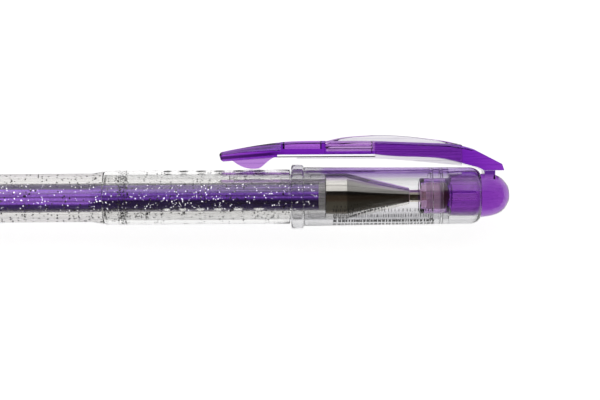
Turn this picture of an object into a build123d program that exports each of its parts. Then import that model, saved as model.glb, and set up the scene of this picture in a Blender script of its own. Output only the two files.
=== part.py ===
"""Capped gel pen with a screw-on metal nose cone, a soft grip and a two-part cap clip.

The pen lies along X: the tail is at the low end and the cap's crown at the high end. The clip
stands out along +Y, and Z is the depth of the clip. The origin is on the pen's axis, at the
barrel's rear rim. Lengths are in millimetres, and every radius is measured from that axis.
"""

import os
from math import cos, radians, sin

from build123d import *

# Barrel and grip
BARREL_R = 4.7
BORE_R = 2.85
SHOULDER_X = 66.0
GRIP_X0 = 68.7
GRIP_X1 = 104.3
GRIP_R = 5.25
GRIP_SEAT_R = 4.4
NOSE_R = 4.4
CONE_SEAT_X = 111.0
SPIGOT_R = 3.6
SPIGOT_LENGTH = 3.6

# Nose cone
CONE_R = 4.45
CONE_CORNER_X = 115.1
CONE_FRONT_X = 127.15
CONE_FRONT_R = 1.65

# Refill
TUBE_R = 2.74
TUBE_BORE_R = 2.05
TUBE_X0 = 8.6
TUBE_X1 = 112.0
INK_X0 = 27.0
FOLLOWER_LENGTH = 6.5
SHANK_R = 1.22
BALL_R = 0.5
BALL_X = 131.0
VALVE_BALL_R = 0.8

# Cap
MOUTH_X = 104.5
COLLAR_R = 6.15
COLLAR_LENGTH = 2.4
CAP_MOUTH_R = 5.7
CAP_END_R = 5.45
CAP_BORE_R = 4.62
SHELL_END_X = 140.8
CROWN_BORE_R = 3.9
CUP_X = 129.1
CUP_R = 3.42
CUP_BORE_R = 2.62

# Clip
NECK_TOP_R = 4.78
NECK_X1 = 143.5
CLIP_HALF_WIDTH = 2.6
LENS_HALF_WIDTH = 1.55
WEB_HALF_WIDTH = 0.55
FIT = 0.04  # radial clearance of parts that slide or turn in each other
FILL_GAP = 0.01  # clearance of parts that fill or plug each other
CUT_MARGIN = 0.01  # how far a cut starts outside the surface that it cuts


def save(part, name):
    """Labels a finished part and writes it as its own STEP file."""
    part.label = name
    export_step(part, f"parts/{name}.step")


def ring(x0, x1, outer, inner, mode=Mode.ADD):
    """Adds a plain ring about the pen's axis to the part being built."""
    with BuildSketch(Plane.YZ.offset(x0)) as profile:
        Circle(outer)
        if inner:
            Circle(inner, mode=Mode.SUBTRACT)
    extrude(profile.sketch, amount=x1 - x0, mode=mode)


def turn(*points, mode=Mode.ADD):
    """Turns a straight-sided outline of (x, radius) points about the pen's axis."""
    with BuildSketch(Plane.XY) as profile:
        with BuildLine():
            Polyline(*points, close=True)
        make_face()
    revolve(profile.sketch, axis=Axis.X, mode=mode)


os.makedirs("parts", exist_ok=True)

# ---------------------------------------------------------------- barrel
# A thick clear tube: rear cylinder, flared shoulder, seat under the grip with one locking
# groove, nose with a cap ridge, and the spigot that carries the cone's thread.
GROOVE_X0 = 71.7
GROOVE_X1 = 72.8
GROOVE_R = 4.05
SHOULDER_R = 5.05
SHOULDER_X1 = GRIP_X0 - 0.1
RIDGE_X = 107.4
RIDGE_R = 4.53
RIDGE_HALF = 0.5
SPIGOT_X1 = CONE_SEAT_X + SPIGOT_LENGTH
THREAD_PITCH = 0.75
THREAD_DEPTH = 0.12
THREAD_GROOVES = 4
THREAD_START_X = CONE_SEAT_X + 0.5

with BuildPart() as barrel:
    turn(
        (0, BORE_R),
        (0, BARREL_R),
        (SHOULDER_X, BARREL_R),
        (SHOULDER_X1, SHOULDER_R),
        (SHOULDER_X1, GRIP_SEAT_R),
        (GROOVE_X0, GRIP_SEAT_R),
        (GROOVE_X0, GROOVE_R),
        (GROOVE_X1, GROOVE_R),
        (GROOVE_X1, GRIP_SEAT_R),
        (RIDGE_X - RIDGE_HALF, NOSE_R),
        (RIDGE_X, RIDGE_R),
        (RIDGE_X + RIDGE_HALF, NOSE_R),
        (CONE_SEAT_X, NOSE_R),
        (CONE_SEAT_X, SPIGOT_R),
        (SPIGOT_X1, SPIGOT_R),
        (SPIGOT_X1, BORE_R),
    )
    for groove in range(THREAD_GROOVES):
        groove_x = THREAD_START_X + groove * THREAD_PITCH
        turn(
            (groove_x, SPIGOT_R + CUT_MARGIN),
            (groove_x + THREAD_PITCH / 3, SPIGOT_R - THREAD_DEPTH),
            (groove_x + THREAD_PITCH * 2 / 3, SPIGOT_R + CUT_MARGIN),
            mode=Mode.SUBTRACT,
        )
save(barrel.part, "barrel")

# ---------------------------------------------------------------- grip sleeve
# Soft clear sleeve with four rows of oval dimples, and a rib that locks in the barrel's groove.
SLEEVE_GAP = 0.03
REAR_ROUNDING = 0.55
FRONT_ROUNDING = 0.12
LOCK_RIB_ROOT_R = GRIP_SEAT_R + 0.2
DIMPLE_ROWS = 4
DIMPLES_IN_ROW = 6
DIMPLE_FIRST_X = 80.9
DIMPLE_PITCH = 3.1
DIMPLE_PITCH_GROWTH = 0.2
DIMPLE_LENGTH = 1.6
DIMPLE_GROWTH = 0.17
DIMPLE_WIDTH = 1.2
DIMPLE_DEPTH = 0.2
DIMPLE_TURN = -22  # degrees from +Z, positive towards +Y


def dimple_planes(x):
    """One plane per row, on the dimples' flat floors, facing out from the axis."""
    planes = []
    for row in range(DIMPLE_ROWS):
        angle = radians(DIMPLE_TURN + 360 * row / DIMPLE_ROWS)
        outward = Vector(0, sin(angle), cos(angle))
        floor = outward * (GRIP_R - DIMPLE_DEPTH)
        planes.append(Plane(origin=(x, floor.Y, floor.Z), x_dir=(1, 0, 0), z_dir=outward))
    return planes


with BuildPart() as grip_sleeve:
    ring(GRIP_X0, GRIP_X1, GRIP_R, GRIP_SEAT_R + SLEEVE_GAP)
    outer_rims = grip_sleeve.edges().filter_by(GeomType.CIRCLE).sort_by(SortBy.RADIUS)[-2:]
    fillet(outer_rims.sort_by(Axis.X)[0], radius=REAR_ROUNDING)
    front_rims = grip_sleeve.edges().filter_by(GeomType.CIRCLE).sort_by(Axis.X)[-2:]
    fillet(front_rims, radius=FRONT_ROUNDING)
    ring(
        GROOVE_X0 + SLEEVE_GAP,
        GROOVE_X1 - SLEEVE_GAP,
        LOCK_RIB_ROOT_R,
        GROOVE_R + SLEEVE_GAP,
    )
    dimple_x = DIMPLE_FIRST_X
    for dimple in range(DIMPLES_IN_ROW):
        with BuildSketch(*dimple_planes(dimple_x)):
            SlotOverall(DIMPLE_LENGTH + dimple * DIMPLE_GROWTH, DIMPLE_WIDTH)
        extrude(amount=DIMPLE_DEPTH * 2, mode=Mode.SUBTRACT)
        dimple_x += DIMPLE_PITCH + dimple * DIMPLE_PITCH_GROWTH
save(grip_sleeve.part, "grip_sleeve")

# ---------------------------------------------------------------- tail plug
# Button a little narrower than the barrel, a spigot with two grip rings, and a vent along the
# axis.
BUTTON_LENGTH = 2.6
BUTTON_R = 4.35
BUTTON_ROUNDING = 1.6
PLUG_LENGTH = 8.2
PLUG_CHAMFER = 0.5
GRIP_RING_XS = (2.0, 5.2)
GRIP_RING_WIDTH = 0.5
GRIP_RING_ROOT_R = BORE_R - 0.3
VENT_R = 0.6

with BuildPart() as tail_plug:
    ring(-BUTTON_LENGTH, 0, BUTTON_R, 0)
    fillet(tail_plug.edges().sort_by(Axis.X)[0], radius=BUTTON_ROUNDING)
    ring(0, PLUG_LENGTH, BORE_R - FIT, 0)
    chamfer(tail_plug.edges().sort_by(Axis.X)[-1], length=PLUG_CHAMFER)
    for ring_x in GRIP_RING_XS:
        ring(ring_x, ring_x + GRIP_RING_WIDTH, BORE_R, GRIP_RING_ROOT_R)
    ring(-BUTTON_LENGTH, PLUG_LENGTH, VENT_R, 0, mode=Mode.SUBTRACT)
save(tail_plug.part, "tail_plug")

# ---------------------------------------------------------------- nose cone
# Chromed metal cone, screwed over the spigot. Its front bore carries the tip's shank.
CONE_THREAD_R = SPIGOT_R + FIT
CONE_SEAT_GAP = 0.02
CONE_ROOM_X0 = 115.0
CONE_ROOM_X1 = 119.0
CONE_WALL = 0.62
CONE_ROOM_R = 2.95
CONE_STOP_X = 123.95
CONE_NECK_X = 124.95
CONE_NECK_R = 1.5
CONE_EDGE = 0.12
CONE_SLOPE = (CONE_R - CONE_FRONT_R) / (CONE_FRONT_X - CONE_CORNER_X)


def cone_inside_r(x):
    """Radius of the cone's hollow at x, one wall in from its outside."""
    return CONE_R - (x - CONE_CORNER_X) * CONE_SLOPE - CONE_WALL


with BuildPart() as nose_cone:
    turn(
        (CONE_SEAT_X + CONE_SEAT_GAP, CONE_THREAD_R),
        (CONE_SEAT_X + CONE_SEAT_GAP, CONE_R),
        (CONE_CORNER_X, CONE_R),
        (CONE_FRONT_X, CONE_FRONT_R),
        (CONE_FRONT_X, SHANK_R + FIT),
        (CONE_NECK_X, SHANK_R + FIT),
        (CONE_NECK_X, CONE_NECK_R),
        (CONE_STOP_X, cone_inside_r(CONE_STOP_X)),
        (CONE_ROOM_X1, CONE_ROOM_R),
        (CONE_ROOM_X0, CONE_ROOM_R),
        (CONE_ROOM_X0, CONE_THREAD_R),
    )
    rims = nose_cone.edges().filter_by(GeomType.CIRCLE).group_by(SortBy.RADIUS)[-1]
    chamfer(rims.sort_by(Axis.X)[0], length=CONE_EDGE)
    chamfer(nose_cone.edges().sort_by(Axis.X)[-1], length=CONE_EDGE)
save(nose_cone.part, "nose_cone")

# ---------------------------------------------------------------- refill tube and its filling
with BuildPart() as refill_tube:
    ring(TUBE_X0, TUBE_X1, TUBE_R, TUBE_BORE_R)
save(refill_tube.part, "refill_tube")

HOLDER_X0 = 109.5
HOLDER_BORE_R = 1.3
SEAT_X = 113.0
INLET_X1 = SEAT_X - 1.2

with BuildPart() as gel_ink:
    turn(
        (INK_X0, 0),
        (INK_X0, TUBE_BORE_R - FILL_GAP),
        (HOLDER_X0 - FILL_GAP, TUBE_BORE_R - FILL_GAP),
        (HOLDER_X0 - FILL_GAP, HOLDER_BORE_R - FILL_GAP),
        (INLET_X1 - FILL_GAP, HOLDER_BORE_R - FILL_GAP),
        (INLET_X1 - FILL_GAP, 0),
    )
save(gel_ink.part, "gel_ink")

# The follower is a slug of clear grease that seals the ink and moves up behind it.
MENISCUS = 0.6
FOLLOWER_R = TUBE_BORE_R - 0.02
FOLLOWER_X0 = INK_X0 - FOLLOWER_LENGTH
FOLLOWER_X1 = INK_X0 - 0.02

with BuildPart() as ink_follower:
    turn(
        (FOLLOWER_X0 + MENISCUS, 0),
        (FOLLOWER_X0 + MENISCUS, 0.5),
        (FOLLOWER_X0 + MENISCUS * 0.75, 1.2),
        (FOLLOWER_X0 + MENISCUS * 0.3, 1.75),
        (FOLLOWER_X0, FOLLOWER_R),
        (FOLLOWER_X1, FOLLOWER_R),
        (FOLLOWER_X1, 0),
    )
save(ink_follower.part, "ink_follower")

# ---------------------------------------------------------------- tip holder
# Moulded joint between tube and tip, with a check-valve chamber for a loose ball. Three slots
# beside the ball's front stop let the ink past.
INK_SLOTS = 3
INK_SLOT_DEPTH = 0.5
INK_SLOT_WIDTH = 0.3
INK_SLOT_LENGTH = 1.0
FLANGE_X1 = 113.6
CHAMBER_X1 = 116.4
CHAMBER_R = 1.0
STOP_R = 0.62
SEAT_SLOPE = 0.6
HOLDER_REAR_R = 2.45
HOLDER_FRONT_R = 1.72
HOLDER_X1 = 123.8
TIP_X0 = 119.8
TIP_REAR_R = 1.05

with BuildPart() as tip_holder:
    turn(
        (HOLDER_X0, HOLDER_BORE_R),
        (HOLDER_X0, TUBE_BORE_R - FILL_GAP),
        (TUBE_X1 + FILL_GAP, TUBE_BORE_R - FILL_GAP),
        (TUBE_X1 + FILL_GAP, TUBE_R),
        (FLANGE_X1, TUBE_R),
        (FLANGE_X1, HOLDER_REAR_R),
        (HOLDER_X1, HOLDER_FRONT_R),
        (HOLDER_X1, TIP_REAR_R),
        (TIP_X0, TIP_REAR_R),
        (TIP_X0, STOP_R),
        (CHAMBER_X1, STOP_R),
        (CHAMBER_X1, CHAMBER_R),
        (SEAT_X + SEAT_SLOPE, CHAMBER_R),
        (SEAT_X, STOP_R),
        (INLET_X1, STOP_R),
        (INLET_X1, HOLDER_BORE_R),
    )
    with BuildSketch(Plane.YZ.offset(CHAMBER_X1)):
        with PolarLocations(STOP_R, INK_SLOTS):
            Rectangle(INK_SLOT_DEPTH, INK_SLOT_WIDTH)
    extrude(amount=INK_SLOT_LENGTH, mode=Mode.SUBTRACT)
save(tip_holder.part, "tip_holder")

VALVE_STOP_GAP = 0.06
VALVE_BALL_X = CHAMBER_X1 - VALVE_BALL_R - VALVE_STOP_GAP

with BuildPart() as valve_ball:
    with Locations((VALVE_BALL_X, 0, 0)):
        Sphere(VALVE_BALL_R)
save(valve_ball.part, "valve_ball")

# ---------------------------------------------------------------- writing tip
# Turned metal tip: rear shank, stop flange, front shank and a crimped cone that holds the ball.
TIP_FLANGE_R = 1.45
TIP_FLANGE_X1 = 124.6
TIP_CONE_X = 129.4
TIP_LIP_X = 131.12
TIP_LIP_R = 0.56
TIP_BORE_R = 0.62
TIP_BORE_X1 = 129.2
FEED_X0 = 129.5
FEED_R = 0.2
SOCKET_R = BALL_R + 0.015

with BuildPart() as writing_tip:
    turn(
        (TIP_X0, TIP_BORE_R),
        (TIP_X0, TIP_REAR_R),
        (HOLDER_X1, TIP_REAR_R),
        (HOLDER_X1, TIP_FLANGE_R),
        (TIP_FLANGE_X1, TIP_FLANGE_R),
        (TIP_FLANGE_X1, SHANK_R),
        (TIP_CONE_X, SHANK_R),
        (TIP_LIP_X, TIP_LIP_R),
        (TIP_LIP_X, FEED_R),
        (FEED_X0, FEED_R),
        (TIP_BORE_X1, TIP_BORE_R),
    )
    with Locations((BALL_X, 0, 0)):
        Sphere(SOCKET_R, mode=Mode.SUBTRACT)
save(writing_tip.part, "writing_tip")

with BuildPart() as writing_ball:
    with Locations((BALL_X, 0, 0)):
        Sphere(BALL_R)
save(writing_ball.part, "writing_ball")

# Fine coil spring in the tip, with a straight end that bears on the ball.
SPRING_X0 = 121.0
SPRING_X1 = 128.6
SPRING_R = 0.44
WIRE_R = 0.07
SPRING_PITCH = 0.76
PIN_X1 = BALL_X - SOCKET_R - 0.03

with BuildPart() as tip_spring:
    with BuildLine():
        coil = Helix(
            pitch=SPRING_PITCH,
            height=SPRING_X1 - SPRING_X0,
            radius=SPRING_R,
            center=(SPRING_X0, 0, 0),
            direction=(1, 0, 0),
        )
    with BuildSketch(Plane(origin=coil @ 0, z_dir=coil % 0)):
        Circle(WIRE_R)
    sweep(path=coil, is_frenet=True)
    ring(SPRING_X1 - WIRE_R, SPRING_X1 + WIRE_R, SPRING_R + WIRE_R, 0)
    ring(SPRING_X1, PIN_X1, WIRE_R, 0)
save(tip_spring.part, "tip_spring")

# ---------------------------------------------------------------- cap shell
# Clear tapered tube with a rounded collar at its mouth and a rounded end that grips the crown.
STEP_X = 134.6
TAPER_X = 138.5
LIP_X = 106.2
BEAD_R = 4.57
BEAD_HALF = 0.5
MOUTH_EASE = 0.1
COLLAR_ROUNDING = 0.4
END_RIM_R = 4.2
RIB_XS = (131.0, 132.9)
RIB_R = 4.3
RIB_WIDTH = 0.5
RIB_ROOT_R = CAP_BORE_R + 0.1

with BuildPart() as cap_shell:
    with BuildSketch(Plane.XY):
        with BuildLine():
            Polyline(
                (SHELL_END_X, CROWN_BORE_R),
                (STEP_X, CROWN_BORE_R),
                (STEP_X, CAP_BORE_R),
                (LIP_X + BEAD_HALF, CAP_BORE_R),
                (LIP_X, BEAD_R),
                (LIP_X - BEAD_HALF, CAP_BORE_R),
                (MOUTH_X, CAP_BORE_R + MOUTH_EASE),
                (MOUTH_X, CAP_MOUTH_R),
                (TAPER_X, CAP_END_R),
            )
            ThreePointArc((TAPER_X, CAP_END_R), (140.0, 5.05), (SHELL_END_X, END_RIM_R))
            Line((SHELL_END_X, END_RIM_R), (SHELL_END_X, CROWN_BORE_R))
        make_face()
    revolve(axis=Axis.X)
    ring(MOUTH_X, MOUTH_X + COLLAR_LENGTH, COLLAR_R, CAP_BORE_R + MOUTH_EASE)
    collar_rims = cap_shell.edges().filter_by(GeomType.CIRCLE).group_by(SortBy.RADIUS)[-1]
    fillet(collar_rims, radius=COLLAR_ROUNDING)
    for rib_x in RIB_XS:
        ring(rib_x, rib_x + RIB_WIDTH, RIB_ROOT_R, RIB_R)
save(cap_shell.part, "cap_shell")

# ---------------------------------------------------------------- crown plug
# Tinted plug: a cup for the tip seal, the spigot held in the shell's end, a blunt dome that
# leans slightly towards the clip, and the neck under the clip.
DOME_R = 4.15
DOME_LENGTH = 5.6
DOME_LEAN = 5.0
DOME_ROOT = 1.0
CORE_R = 0.6
CORE_X1 = 139.3
CUP_FLOOR_X = 135.4
CUP_ROUNDING = 1.9
CUP_LEAD = 0.2
SPIGOT_X0 = STEP_X + 0.3
SPIGOT_OVERRUN = 0.5
FUNNEL_LENGTH = 0.9
FUNNEL_FLARE = 0.25
NECK_X0 = 141.4
NECK_HALF_WIDTH = 2.6
NECK_BOTTOM_R = 2.0
NECK_GAP = 0.03

with BuildPart() as crown_plug:
    lean = (cos(radians(DOME_LEAN)), sin(radians(DOME_LEAN)), 0)
    dome_plane = Plane(origin=(SHELL_END_X, 0, 0), x_dir=lean, z_dir=(0, 0, 1))
    with BuildSketch(dome_plane):
        with BuildLine():
            Polyline((DOME_LENGTH, 0), (-DOME_ROOT, 0), (-DOME_ROOT, DOME_R), (0, DOME_R))
            Spline(
                (0, DOME_R),
                (2.5, 3.92),
                (4.2, 3.15),
                (5.2, 1.9),
                (DOME_LENGTH, 0),
                tangents=((1, 0), (0, -1)),
            )
        make_face()
    revolve(axis=Axis((SHELL_END_X, 0, 0), lean))
    ring(SHELL_END_X - 2 * DOME_ROOT, SHELL_END_X, 2 * DOME_R, 0, mode=Mode.SUBTRACT)
    turn(
        (CUP_X, 0),
        (CUP_X, CUP_R - CUP_LEAD),
        (CUP_X + CUP_LEAD, CUP_R),
        (STEP_X, CUP_R),
        (SPIGOT_X0, CROWN_BORE_R),
        (SHELL_END_X + SPIGOT_OVERRUN, CROWN_BORE_R),
        (SHELL_END_X + SPIGOT_OVERRUN, 0),
    )
    with BuildSketch(Plane.XZ.offset(NECK_GAP - NECK_TOP_R)):
        with Locations(((NECK_X0 + NECK_X1) / 2, 0)):
            Rectangle(NECK_X1 - NECK_X0, NECK_HALF_WIDTH * 2)
    extrude(amount=NECK_TOP_R - NECK_GAP - NECK_BOTTOM_R)
    turn(
        (CUP_X, 0),
        (CUP_X, CUP_BORE_R + FUNNEL_FLARE),
        (CUP_X + FUNNEL_LENGTH, CUP_BORE_R),
        (CUP_FLOOR_X, CUP_BORE_R),
        (CUP_FLOOR_X, CORE_R),
        (CORE_X1, CORE_R),
        (CORE_X1, 0),
        mode=Mode.SUBTRACT,
    )
    cup_corner = crown_plug.edges().filter_by(
        lambda edge: edge.is_closed
        and abs(edge.center().X - CUP_FLOOR_X) < CUT_MARGIN
        and abs(edge.radius - CUP_BORE_R) < CUT_MARGIN
    )
    fillet(cup_corner, radius=CUP_ROUNDING)
save(crown_plug.part, "crown_plug")

# ---------------------------------------------------------------- tip seal
# Soft plug in the crown's cup, with a funnel that takes the tip and a rounded back.
SEAL_X0 = 130.35
SEAL_X1 = CUP_FLOOR_X - FILL_GAP
SEAL_R = CUP_BORE_R - FILL_GAP
SEAL_ROUNDING = CUP_ROUNDING - FILL_GAP
SEAL_GAP = 0.07
SEAL_LEAD_X = SEAL_X0 - 1.0
SEAL_LEAD_R = SHANK_R + 0.32
SEAL_WAIST_R = TIP_LIP_R + SEAL_GAP + 0.04
SEAL_END_X = BALL_X + BALL_R + SEAL_GAP

with BuildPart() as tip_seal:
    ring(SEAL_X0, SEAL_X1, SEAL_R, 0)
    fillet(tip_seal.edges().sort_by(Axis.X)[-1], radius=SEAL_ROUNDING)
    turn(
        (SEAL_LEAD_X, 0),
        (SEAL_LEAD_X, SEAL_LEAD_R),
        (TIP_LIP_X + SEAL_GAP, SEAL_WAIST_R),
        (SEAL_END_X, BALL_R),
        (SEAL_END_X, 0),
        mode=Mode.SUBTRACT,
    )
save(tip_seal.part, "tip_seal")

# ---------------------------------------------------------------- clip bar
# Arched tinted bar. Side outline and plan outline are intersected and the top edges bevelled,
# wider near the free end. A tray and a slot take the lens, a thin lip runs below the bar, and a
# fin reaches down to the grip.
FREE_END_X = 90.6
FREE_END_Y = 8.5
TOE_X = FREE_END_X + 0.5
TOE_Y = 6.75
HEEL_X = 101.0
OVERHANG_X = 145.3
PLAN_X0 = 103.1
PLAN_X1 = 136.8
PLAN_MARGIN = 1.0
FREE_HALF_WIDTH = 1.4
END_ROUNDING = 0.7
HEEL_EDGE = 0.35
OVERHANG_HALF_WIDTH = 1.9
LIP_BOTTOM_Y = 7.5
LIP_TOP_Y = 7.68
BEAM_BOTTOM_Y = 8.0
SLOT_X0 = 101.9
WINDOW_X0 = 120.6
WINDOW_X1 = 137.3
TRAY_X0 = 111.0
TRAY_FLOOR_Y = 8.6
POCKET_X0 = 103.0
POCKET_X1 = 110.4
POCKET_FLOOR_Y = 9.1
POCKET_HALF_WIDTH = 1.3
POCKET_CORNER = 0.4
RECESS_X1 = 120.2
RECESS_BANDS = ((8.45, 9.2), (9.75, 9.95))
RECESS_DEPTH = 0.3
RECESS_DRAFT = 40  # degrees that the recess's walls lean out
RECESS_INSET = 0.25  # how far in the recess's floor starts from its ends
FIN_X0 = 93.3
FIN_X1 = 101.3
FIN_HALF_WIDTH = 0.7
FIN_BOTTOM_Y = 5.37
ABOVE_Y = 20.0  # clear above the whole clip
BEVEL = 0.45
FREE_END_BEVEL = 1.6
FREE_END_BEVEL_X1 = 102.6
TOP_CURVE = (
    (FREE_END_X, FREE_END_Y),
    (96.4, 9.6),
    (PLAN_X0, 10.45),
    (112.0, 10.6),
    (122.0, 10.45),
    (130.5, 10.1),
    (PLAN_X1, 9.58),
    (139.4, 8.85),
)
BOTTOM_CURVE = (
    (NECK_X0, NECK_TOP_R),
    (140.3, 5.34),
    (138.8, 5.75),
    (134.8, 6.85),
    (127.0, 7.5),
    (WINDOW_X0, BEAM_BOTTOM_Y),
)


def bar_outline(clearance):
    """The bar's side outline without its fin, with its top raised and its arch lowered."""
    top = [(x, y + clearance) for x, y in TOP_CURVE]
    arch = [(x, y - clearance) for x, y in BOTTOM_CURVE]
    with BuildSketch(Plane.XY) as outline:
        with BuildLine():
            Spline(*top)
            Polyline(top[-1], (144.9, 6.0 + clearance), (OVERHANG_X, arch[0][1]), arch[0])
            Spline(*arch)
            Polyline(
                arch[-1],
                (WINDOW_X0, LIP_BOTTOM_Y),
                (HEEL_X, LIP_BOTTOM_Y),
                (TOE_X, TOE_Y),
                top[0],
            )
        make_face()
    return outline.sketch


def add_bevel_cut(side, bevel, last_x):
    """Cuts the bar's top edge on one side along a 45 degree slope that follows the top curve."""
    rise = CLIP_HALF_WIDTH - bevel
    curve = [(x, y + rise) for x, y in TOP_CURVE]
    curve_end_x = curve[-1][0]
    with BuildSketch(Plane.XY) as above:
        with BuildLine():
            Spline(*curve)
            Polyline(curve[-1], (curve_end_x, ABOVE_Y), (FREE_END_X, ABOVE_Y), curve[0])
        make_face()
        with Locations(((FREE_END_X + last_x) / 2, ABOVE_Y / 2)):
            Rectangle(last_x - FREE_END_X, ABOVE_Y + 1, mode=Mode.INTERSECT)
    extrude(above.sketch, amount=6, dir=(0, -1, side), mode=Mode.SUBTRACT)


def plan_slot(x0, x1, half_width, floor_y):
    """Cuts a slot, open at the top, between two x positions."""
    with BuildSketch(Plane.XZ.offset(-floor_y)) as plan:
        with Locations(((x0 + x1) / 2, 0)):
            Rectangle(x1 - x0, half_width * 2)
    extrude(plan.sketch, amount=floor_y - ABOVE_Y, mode=Mode.SUBTRACT)


with BuildPart() as clip_bar:
    extrude(bar_outline(0), amount=CLIP_HALF_WIDTH, both=True)
    with BuildSketch(Plane.XZ):
        with BuildLine():
            Polyline(
                (FREE_END_X - PLAN_MARGIN, -FREE_HALF_WIDTH),
                (PLAN_X0, -CLIP_HALF_WIDTH),
                (PLAN_X1, -CLIP_HALF_WIDTH),
                (OVERHANG_X + PLAN_MARGIN, -OVERHANG_HALF_WIDTH),
                (OVERHANG_X + PLAN_MARGIN, OVERHANG_HALF_WIDTH),
                (PLAN_X1, CLIP_HALF_WIDTH),
                (PLAN_X0, CLIP_HALF_WIDTH),
                (FREE_END_X - PLAN_MARGIN, FREE_HALF_WIDTH),
                close=True,
            )
        make_face()
    extrude(amount=-ABOVE_Y, mode=Mode.INTERSECT)
    end_corners = clip_bar.edges().filter_by(
        lambda edge: edge.center().X < TOE_X and abs(edge.center().Z) > FREE_HALF_WIDTH / 2
    )
    fillet(end_corners, radius=END_ROUNDING)
    heel_edges = clip_bar.edges().filter_by(
        lambda edge: TOE_X + 1 < edge.center().X < HEEL_X and edge.center().Y < LIP_BOTTOM_Y
    )
    chamfer(heel_edges, length=HEEL_EDGE)
    for side in (-1, 1):
        add_bevel_cut(side, BEVEL, TOP_CURVE[-1][0])
        add_bevel_cut(side, FREE_END_BEVEL, FREE_END_BEVEL_X1)
    with BuildSketch(Plane.XY):
        with Locations(((SLOT_X0 + WINDOW_X0) / 2, (LIP_TOP_Y + BEAM_BOTTOM_Y) / 2)):
            Rectangle(WINDOW_X0 - SLOT_X0, BEAM_BOTTOM_Y - LIP_TOP_Y)
    extrude(amount=CLIP_HALF_WIDTH * 2, both=True, mode=Mode.SUBTRACT)
    plan_slot(WINDOW_X0, WINDOW_X1, WEB_HALF_WIDTH, 0)
    plan_slot(TRAY_X0, WINDOW_X0, LENS_HALF_WIDTH, TRAY_FLOOR_Y)
    with BuildSketch(Plane.XZ.offset(-POCKET_FLOOR_Y)):
        with Locations(((POCKET_X0 + POCKET_X1) / 2, 0)):
            RectangleRounded(
                POCKET_X1 - POCKET_X0, POCKET_HALF_WIDTH * 2, radius=POCKET_CORNER
            )
    extrude(amount=POCKET_FLOOR_Y - ABOVE_Y, mode=Mode.SUBTRACT)
    for side in (-1, 1):
        recess_plane = Plane.XY.offset(side * (CLIP_HALF_WIDTH - RECESS_DEPTH))
        for low, high in RECESS_BANDS:
            with BuildSketch(recess_plane):
                with Locations(((TRAY_X0 + RECESS_X1) / 2, (low + high) / 2)):
                    Rectangle(RECESS_X1 - TRAY_X0 - 2 * RECESS_INSET, high - low)
            extrude(
                amount=side * (RECESS_DEPTH + CUT_MARGIN),
                taper=-RECESS_DRAFT,
                mode=Mode.SUBTRACT,
            )
    with BuildSketch(Plane.XY):
        with BuildLine():
            Spline(
                (FIN_X1, LIP_BOTTOM_Y + 0.02),
                (100.3, 6.95),
                (99.3, 6.1),
                (98.5, 5.52),
                (97.7, FIN_BOTTOM_Y),
                (95.6, 5.62),
                (FIN_X0, 6.95),
            )
            Polyline(
                (FIN_X0, 6.95),
                (FIN_X0 + 1.0, BEAM_BOTTOM_Y),
                (FIN_X1, BEAM_BOTTOM_Y),
                (FIN_X1, LIP_BOTTOM_Y + 0.02),
            )
        make_face()
    extrude(amount=FIN_HALF_WIDTH, both=True)
save(clip_bar.part, "clip_bar")

# ---------------------------------------------------------------- clip lens
# Clear arched insert: a strip on the bar and a strip below it, joined by a thin web through the
# bar's slot, with a foot in the tray and a tongue under the lip.
LENS_GAP = 0.02
LENS_X1 = WINDOW_X1 - LENS_GAP
LENS_END_TOP_Y = 9.8
LENS_END_BOTTOM_Y = 5.72
FOOT_X0 = TRAY_X0 + LENS_GAP
FOOT_BOTTOM_Y = TRAY_FLOOR_Y + LENS_GAP
FOOT_TOP_Y = 10.5
WEB_X0 = WINDOW_X0 + LENS_GAP
TONGUE_X0 = 105.6
TONGUE_X1 = WINDOW_X0 + 0.6
TONGUE_TOP_Y = LIP_BOTTOM_Y - LENS_GAP
TONGUE_BOTTOM_Y = 7.2
CREST_Y = 10.6
CREST_ROUNDING = 0.5

with BuildPart() as clip_lens:
    with BuildSketch(Plane.XY):
        with BuildLine():
            Line((FOOT_X0, FOOT_BOTTOM_Y), (FOOT_X0, FOOT_TOP_Y))
            Spline(
                (FOOT_X0, FOOT_TOP_Y),
                (114.0, 11.22),
                (118.0, 11.58),
                (122.6, 11.7),
                (128.1, 11.3),
                (132.7, 10.7),
                (LENS_X1, LENS_END_TOP_Y),
            )
            Line((LENS_X1, LENS_END_TOP_Y), (LENS_X1, LENS_END_BOTTOM_Y))
            Spline(
                (LENS_X1, LENS_END_BOTTOM_Y),
                (133.1, 6.19),
                (128.4, 6.65),
                (TONGUE_X1, TONGUE_BOTTOM_Y),
            )
            Polyline(
                (TONGUE_X1, TONGUE_BOTTOM_Y),
                (TONGUE_X0, TONGUE_BOTTOM_Y),
                (TONGUE_X0, TONGUE_TOP_Y),
                (WEB_X0, TONGUE_TOP_Y),
                (WEB_X0, FOOT_BOTTOM_Y),
                (FOOT_X0, FOOT_BOTTOM_Y),
            )
        make_face()
    extrude(amount=LENS_HALF_WIDTH - LENS_GAP, both=True)
    crest = clip_lens.edges().filter_by(lambda edge: edge.center().Y > CREST_Y)
    fillet(crest.filter_by(lambda edge: edge.length > WINDOW_X1 - WINDOW_X0), radius=CREST_ROUNDING)
    with BuildSketch(Plane.XY, mode=Mode.PRIVATE) as bar_room:
        add(bar_outline(LENS_GAP))
        with Locations(((WINDOW_X0 + OVERHANG_X) / 2 - LENS_GAP, ABOVE_Y / 2)):
            Rectangle(OVERHANG_X - WINDOW_X0, ABOVE_Y, mode=Mode.INTERSECT)
    for side in (-1, 1):
        room_floor = side * (WEB_HALF_WIDTH - LENS_GAP)
        extrude(
            bar_room.sketch.moved(Location((0, 0, room_floor))),
            amount=side * CLIP_HALF_WIDTH,
            mode=Mode.SUBTRACT,
        )
save(clip_lens.part, "clip_lens")
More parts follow.
